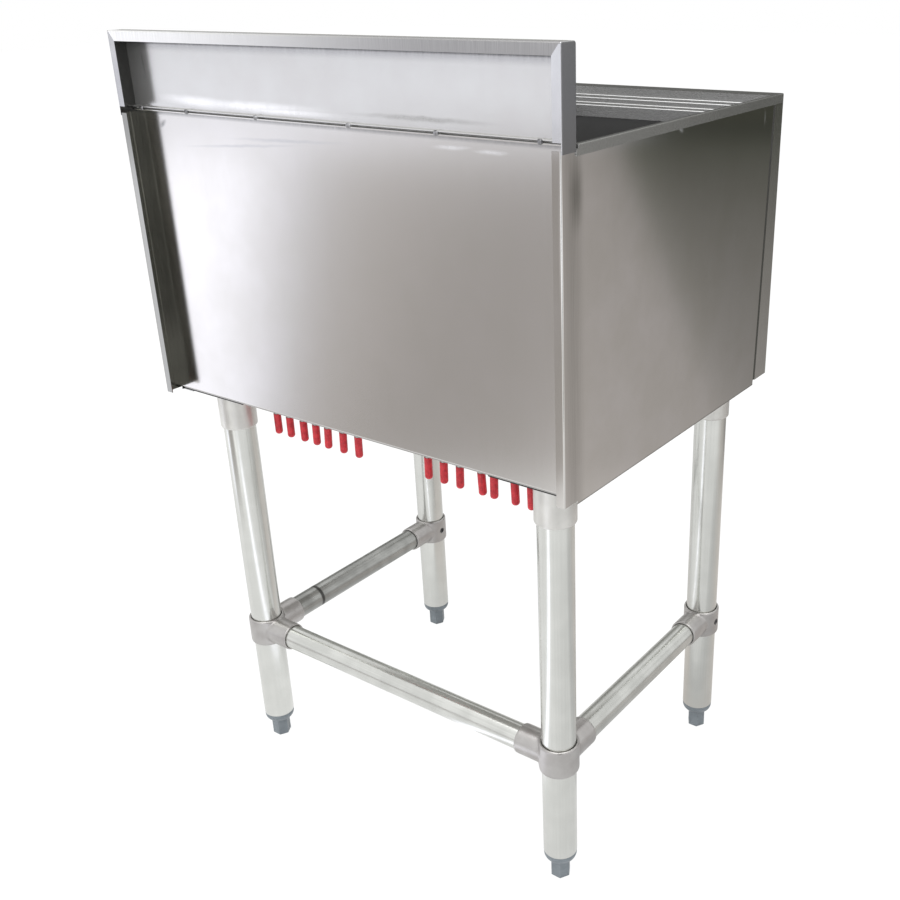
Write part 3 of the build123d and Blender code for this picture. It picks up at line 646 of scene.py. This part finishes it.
def lump(centre, half, turn):
    """Grid of a rippled ball: across the two angles u around and v from pole to pole, the
    unit ball's point times the half sizes, times one plus two small waves."""
    u, v = np.meshgrid(
        np.linspace(0, 2 * np.pi, AROUND + 1)[:-1], np.linspace(0, np.pi, POLE_TO_POLE),
        indexing="ij",
    )
    ball = np.stack([np.sin(v) * np.cos(u), np.sin(v) * np.sin(u), np.cos(v)], axis=-1)
    wave = 1 + 0.10 * np.sin(v) * np.sin(3 * u + turn) + 0.06 * np.sin(v) * np.cos(5 * v + turn)
    return centre + ball * half * wave[..., None]


def grid_faces(columns, rows, start):
    """Quads of a grid that closes around its columns, as indices into its points."""
    i, j = np.meshgrid(np.arange(columns), np.arange(rows - 1), indexing="ij")
    k = (i + 1) % columns
    quads = np.stack([i * rows + j, i * rows + j + 1, k * rows + j + 1, k * rows + j], axis=-1)
    return quads.reshape(-1, 4) + start


print("a tack is", 2 * TACK_HALF, "mm")

# %% [markdown]
# The six tacks are one piece, because they are one job of the welder and they all move
# with the box. The grids meet at their poles, so doubled points are merged there.

# %% Tack welds along the seam
SEAM_Y, SEAM_Z = 211.0, 890.0
TACK_PLACES = (289.0, 209.0, 97.0, -38.0, -151.0, -270.0)
MERGE_MM = 0.002
tack_points = np.concatenate([
    lump(np.array([x, SEAM_Y, SEAM_Z]), TACK_HALF, 1.7 * number).reshape(-1, 3)
    for number, x in enumerate(TACK_PLACES)
])
tack_faces = np.concatenate([
    grid_faces(AROUND, POLE_TO_POLE, number * AROUND * POLE_TO_POLE)
    for number in range(len(TACK_PLACES))
])
tack_mesh = bpy.data.meshes.new("seam_tack_welds")
tack_mesh.from_pydata((tack_points * MM).tolist(), [], tack_faces.tolist())
work = bmesh.new()
work.from_mesh(tack_mesh)
bmesh.ops.remove_doubles(work, verts=work.verts, dist=MERGE_MM * MM)
bmesh.ops.recalc_face_normals(work, faces=work.faces)
work.to_mesh(tack_mesh)
work.free()
tack_mesh.shade_smooth()
tack_mesh.materials.append(stainless_sheet("dull_tack_weld", "#b2b2b4", "#7c7c7e", 0.28, 0))
tacks = bpy.data.objects.new("seam_tack_welds", tack_mesh)
bpy.context.scene.collection.objects.link(tacks)
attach(tacks, "stand_and_box")
print("tacks", len(TACK_PLACES), "on", len(tack_mesh.polygons), "faces")

# %% [markdown]
# A real casting has no sharp inner corners: metal shrinks as it cools, so the pattern
# maker rounds every meeting of two walls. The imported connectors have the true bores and
# reach, and sharp meetings. A copy of each is cut into small voxels and smoothed, which
# rounds the meetings by about two millimetres and keeps the flat ends and bores.

# %% Soft castings for the connectors
VOXEL_MM = 0.9
SMOOTH_TURNS = 14
WELD_MM = 0.01


def soft_casting(node_name):
    """Voxel remesh and smoothing of a copy of a casting, applied, in place of the node."""
    mesh = nodes[node_name].data.copy()
    mesh.name = node_name + "_soft"
    piece = bpy.data.objects.new(node_name + "_soft", mesh)
    bpy.context.scene.collection.objects.link(piece)
    work = bmesh.new()
    work.from_mesh(mesh)
    bmesh.ops.remove_doubles(work, verts=work.verts, dist=WELD_MM * MM)
    work.to_mesh(mesh)
    work.free()
    voxels = piece.modifiers.new("voxels", "REMESH")
    voxels.mode = "VOXEL"
    voxels.voxel_size = VOXEL_MM * MM
    voxels.use_smooth_shade = True
    soften = piece.modifiers.new("soften", "SMOOTH")
    soften.factor = 0.5
    soften.iterations = SMOOTH_TURNS
    graph = bpy.context.evaluated_depsgraph_get()
    baked = bpy.data.meshes.new_from_object(piece.evaluated_get(graph))
    piece.modifiers.clear()
    piece.data = baked
    baked.materials.clear()
    baked.materials.append(connector_coat)
    baked.shade_smooth()
    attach(piece, "stand_and_box")
    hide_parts(node_name)
    return len(baked.polygons)


for node_name in sorted(nodes):
    if node_name.startswith("connector_") and "screws" not in node_name:
        print(node_name, soft_casting(node_name), "faces")

# %% [markdown]
# The bin stands on a sweep of white paper. A lit backdrop looks evenly white, so most of
# what the camera sees of the paper is a steady glow. The rest is paper under the lamps,
# which keeps the shadows at the feet.

# %% Floor
FLOOR_HALF = 15.0
GLOW_SHARE = 0.88
GLOW_LEVEL = 1.08
floor_material, tree, output = new_material("pale_studio_floor")
light_path = add_node(tree, "ShaderNodeLightPath")
paper = add_node(tree, "ShaderNodeBsdfDiffuse", Color="#ffffff")
glow = add_node(tree, "ShaderNodeEmission", Color="#ffffff", Strength=GLOW_LEVEL)
seen = add_node(
    tree, "ShaderNodeMath", {"operation": "MULTIPLY"},
    _0=light_path.outputs["Is Camera Ray"], _1=GLOW_SHARE,
)
mix = add_node(
    tree, "ShaderNodeMixShader", _0=seen.outputs[0], _1=paper.outputs[0], _2=glow.outputs[0]
)
tree.links.new(mix.outputs[0], output.inputs[0])
corners = [(x * FLOOR_HALF, y * FLOOR_HALF, 0) for x, y in ((-1, -1), (1, -1), (1, 1), (-1, 1))]
floor_mesh = bpy.data.meshes.new("studio_floor")
floor_mesh.from_pydata(corners, [], [(0, 1, 2, 3)])
floor_mesh.materials.append(floor_material)
floor = bpy.data.objects.new("studio_floor", floor_mesh)
bpy.context.scene.collection.objects.link(floor)
print("floor", 2 * FLOOR_HALF, "m wide")

# %% [markdown]
# Beyond the paper is the world. It is white where it is seen, or mirrored in metal, and
# lights the object at about half of that, so that pale steel doesn't burn out. The kind
# of ray that asks tells one case from the other.

# %% World
WORLD_LIGHT = 0.55
WORLD_SEEN = 1.0
world = bpy.data.worlds.new("studio_world")
bpy.context.scene.world = world
world.use_nodes = True
tree = world.node_tree
tree.nodes.clear()
light_path = add_node(tree, "ShaderNodeLightPath")
seen = strongest(
    tree, [light_path.outputs[f"Is {ray} Ray"] for ray in ("Camera", "Glossy", "Transmission")]
)
strength = add_node(
    tree, "ShaderNodeMapRange", Value=seen, To_Min=WORLD_LIGHT, To_Max=WORLD_SEEN
)
sky = add_node(tree, "ShaderNodeBackground", Color="#ffffff", Strength=strength.outputs[0])
add_node(tree, "ShaderNodeOutputWorld", Surface=sky.outputs[0])
print("world lights at", WORLD_LIGHT)

# %% [markdown]
# Bare steel looks like the room around it: a dark floor gives a grey skin, a window gives
# a white streak. From this camera the skins mirror the floor at some distance and the
# walls beyond, so a great glowing disc just above the floor stands for both, and only
# mirrored rays see it. Its glow is written as a compass: for each direction from the
# bin's middle, in degrees from +X, a brightness and a tint. There is one compass for the
# floor under the bin, two for the floor near and far, and one for the walls.

# %% Compass of glows
STUDIO_GLOW = 2.2
WARM, COOL, OLIVE, PLAIN = "#fff9f5", "#f6f7ff", "#fbffea", "#ffffff"
UNDER_FLOOR = [
    (-180, 0.68, PLAIN), (-165, 0.60, PLAIN), (-135, 0.66, WARM), (-100, 0.72, WARM),
    (-40, 0.75, PLAIN), (20, 0.96, PLAIN), (70, 0.94, PLAIN), (87, 0.95, PLAIN),
    (91, 1.9, COOL), (99, 1.9, COOL), (103, 0.95, PLAIN), (125, 0.89, PLAIN),
    (160, 0.80, PLAIN),
]
NEAR_FLOOR = [
    (-180, 0.95, PLAIN), (-150, 0.6, WARM), (-128, 0.47, WARM), (-124.5, 0.46, WARM),
    (-122, 0.40, WARM), (-119, 0.36, WARM), (-104, 0.36, WARM), (-92, 0.8, PLAIN),
    (20, 1.0, PLAIN), (34, 1.5, COOL), (39.3, 1.45, COOL), (42.2, 0.8, COOL),
    (45.0, 0.57, WARM), (54, 0.44, WARM), (64, 0.45, WARM), (72, 0.5, WARM),
    (76, 1.3, PLAIN), (86, 1.3, PLAIN), (92, 0.95, PLAIN), (180, 0.95, PLAIN),
]
FAR_FLOOR = [
    (-180, 0.95, PLAIN), (-150, 0.6, WARM), (-127, 0.43, WARM), (-125.4, 0.38, WARM),
    (-123.8, 0.13, OLIVE), (-122, 0.09, OLIVE), (-116, 0.09, OLIVE), (-104, 0.08, OLIVE),
    (-92, 0.7, PLAIN), (20, 1.0, PLAIN), (34, 1.85, COOL), (41.0, 1.75, COOL),
    (43.4, 0.8, COOL), (46.3, 0.57, WARM), (57, 0.41, WARM), (66, 0.41, WARM),
    (72, 0.5, WARM), (76, 1.3, PLAIN), (86, 1.3, PLAIN), (92, 0.95, PLAIN),
    (180, 0.95, PLAIN),
]
FAR_WALL = [
    (-126, 0.7, COOL), (-122, 0.06, OLIVE), (-104, 0.05, OLIVE), (-96, 0.9, COOL),
    (20, 1.15, COOL), (48, 1.22, COOL), (60, 1.36, COOL), (100, 1.0, COOL),
]


def toned(level, tint):
    """Linear colour of a tint at a brightness, as a share of the studio's glow."""
    return tuple(level / STUDIO_GLOW * value for value in linear(tint)[:3]) + (1.0,)


def compass_stops(glows):
    """Places with colours around the compass. The place of a direction is its share of a
    full circle from +X, plus a half, as the radial gradient counts it."""
    return [(degrees / 360 + 0.5, toned(level, tint)) for degrees, level, tint in glows]


brightest = max(level for _, level, _ in UNDER_FLOOR + NEAR_FLOOR + FAR_FLOOR + FAR_WALL)
print("brightest mirrored floor", brightest, "of", STUDIO_GLOW)

# %% [markdown]
# The four compasses are blended by distance. Each pair of distances says where one goes
# over into the next: a metre out the floor leaves the bin's own shade, then it changes
# slowly up to the edge of the paper, and about six metres out the walls begin.

# %% Glow of the surroundings
SHADE_ENDS = (1.0, 1.35)
FLOOR_CHANGES = (1.3, 6.0)
WALLS_BEGIN = (5.6, 6.8)
studio_material, tree, output = new_material("studio_surroundings_glow")
place = add_node(tree, "ShaderNodeTexCoord").outputs["Object"]
turn = add_node(
    tree, "ShaderNodeTexGradient", {"gradient_type": "RADIAL"}, Vector=place
).outputs[1]
reach = add_node(
    tree, "ShaderNodeVectorMath", {"operation": "LENGTH"}, _0=place
).outputs["Value"]
under, near, far, wall = [
    add_node(
        tree, "ShaderNodeValToRGB", {"stops": compass_stops(glows)}, Fac=turn
    ).outputs[0]
    for glows in (UNDER_FLOOR, NEAR_FLOOR, FAR_FLOOR, FAR_WALL)
]
outwards = add_node(
    tree, "ShaderNodeMapRange", Value=reach, From_Min=FLOOR_CHANGES[0], From_Max=FLOOR_CHANGES[1]
)
farness = add_node(
    tree, "ShaderNodeMath", {"operation": "POWER", "use_clamp": True},
    _0=outwards.outputs[0], _1=0.6,
)
out_of_shade, at_walls = [
    add_node(
        tree, "ShaderNodeMapRange", {"interpolation_type": "SMOOTHSTEP"},
        Value=reach, From_Min=start, From_Max=end,
    )
    for start, end in (SHADE_ENDS, WALLS_BEGIN)
]
surround = add_node(
    tree, "ShaderNodeMix", {"data_type": "RGBA"}, Factor=farness.outputs[0], _6=near, _7=far
)
surround = add_node(
    tree, "ShaderNodeMix", {"data_type": "RGBA"},
    Factor=out_of_shade.outputs[0], _6=under, _7=surround.outputs[2],
)
surround = add_node(
    tree, "ShaderNodeMix", {"data_type": "RGBA"},
    Factor=at_walls.outputs[0], _6=surround.outputs[2], _7=wall,
)
glow = add_node(
    tree, "ShaderNodeEmission", Color=surround.outputs[2], Strength=STUDIO_GLOW
)
tree.links.new(glow.outputs[0], output.inputs[0])
print("walls begin", WALLS_BEGIN[0], "m out")

# %% [markdown]
# The glow needs a surface to sit on: one flat disc with many sides, a hair above the
# paper. The camera, the lamps' light and the shadows pass through it.

# %% Disc that the steel mirrors
STUDIO_RADIUS = 40.0
DISC_LIFT_MM = 2
DISC_SIDES = 96


def only_mirrored(piece):
    """Stages a piece that shows in reflections alone."""
    for ray in ("camera", "diffuse", "shadow", "transmission"):
        setattr(piece, "visible_" + ray, False)


angles = np.linspace(0, 2 * math.pi, DISC_SIDES, endpoint=False)
ring = np.stack([np.cos(angles), np.sin(angles), 0 * angles], axis=1) * STUDIO_RADIUS
ring[:, 2] = DISC_LIFT_MM * MM
studio_mesh = bpy.data.meshes.new("studio_surroundings")
studio_mesh.from_pydata(ring.tolist(), [], [tuple(range(DISC_SIDES))])
studio_mesh.materials.append(studio_material)
studio = bpy.data.objects.new("studio_surroundings", studio_mesh)
bpy.context.scene.collection.objects.link(studio)
only_mirrored(studio)
print("disc", STUDIO_RADIUS, "m in radius")

# %% [markdown]
# Upright cloths keep light off the steel. A black one stands far to the left and behind,
# where the side skin mirrors it. A narrow near one is where the inner face of the return
# beside the rear skin mirrors it. A grey one in front darkens the flat rim and the lid,
# which mirror what stands beyond them.

# %% Cloths seen in the steel
CLOTH_HEIGHT = 3.2


def hung_cloth(name, foot_points, tone):
    """Upright cloth over a line of points on the floor, seen only in reflections."""
    foot_line = np.asarray(foot_points, dtype=float)
    points = np.concatenate([foot_line, foot_line + [0, 0, CLOTH_HEIGHT]])
    count = len(foot_line)
    faces = [(i, i + 1, count + i + 1, count + i) for i in range(count - 1)]
    material, tree, output = new_material(name + "_glow")
    shade = add_node(tree, "ShaderNodeEmission", Color=tone, Strength=1.0)
    tree.links.new(shade.outputs[0], output.inputs[0])
    mesh = bpy.data.meshes.new(name)
    mesh.from_pydata(points.tolist(), [], faces)
    mesh.materials.append(material)
    piece = bpy.data.objects.new(name, mesh)
    bpy.context.scene.collection.objects.link(piece)
    only_mirrored(piece)


def arc(radius, start_deg, end_deg, count):
    """Points on the floor on a circle around the bin, between two compass directions."""
    sweep = np.radians(np.linspace(start_deg, end_deg, count))
    return np.stack([np.cos(sweep), np.sin(sweep), 0 * sweep], axis=1) * radius


hung_cloth("far_black_cloth", arc(7.0, -123.6, -100.0, 9), "#45463e")
hung_cloth("near_black_cloth", [(-1.16, 1.58, 0), (-1.50, 1.16, 0)], "#2a2b26")
hung_cloth("front_grey_cloth", arc(6.0, -92.0, -8.0, 15), "#9c9c98")
print("cloths", CLOTH_HEIGHT, "m high")

# %% [markdown]
# Two soft lamps light the plastics and the dull coats: a wide one overhead, which the
# flanges and bends also mirror, and a smaller one from the side of a window. The second
# isn't mirrored, because the compass already holds the window's streaks.

# %% Lamps


def area_lamp(name, place, target, size, power):
    """Square soft lamp at a place, pointed at a target."""
    data = bpy.data.lights.new(name, "AREA")
    data.size = size
    data.energy = power
    lamp = bpy.data.objects.new(name, data)
    way = np.array(target) - np.array(place)
    yaw = math.atan2(way[1], way[0]) - math.pi / 2
    pitch = math.atan2(math.hypot(way[0], way[1]), -way[2])
    lamp.location = place
    lamp.rotation_euler = (pitch, 0, yaw)
    bpy.context.scene.collection.objects.link(lamp)
    return lamp


middle = (0, 0, 0.5)
area_lamp("overhead_softbox", (-0.6, 0.8, 3.0), middle, 3.6, 66)
side_lamp = area_lamp("window_side_softbox", (2.6, 1.8, 1.6), middle, 1.8, 30)
side_lamp.visible_glossy = False
print("lamps ready")

# %% [markdown]
# The camera stands behind the bin, a little to one side and above its rim, with a short
# telephoto view. Its place and angles come from matching the box's corners in the
# picture, and the shift moves the frame as cropping does.

# %% Camera
camera_data = bpy.data.cameras.new("catalogue_camera")
camera_data.sensor_width = 36
camera_data.lens = 44.25
camera_data.shift_x = -0.0970
camera_data.shift_y = 0.0051
camera = bpy.data.objects.new("catalogue_camera", camera_data)
camera.location = (-0.8457, 1.0246, 1.0345)
camera.rotation_euler = [math.radians(angle) for angle in (65.962, 1.142, -144.733)]
bpy.context.scene.collection.objects.link(camera)
bpy.context.scene.camera = camera
bpy.context.scene.view_settings.view_transform = "Standard"
print("camera", camera.location[:])
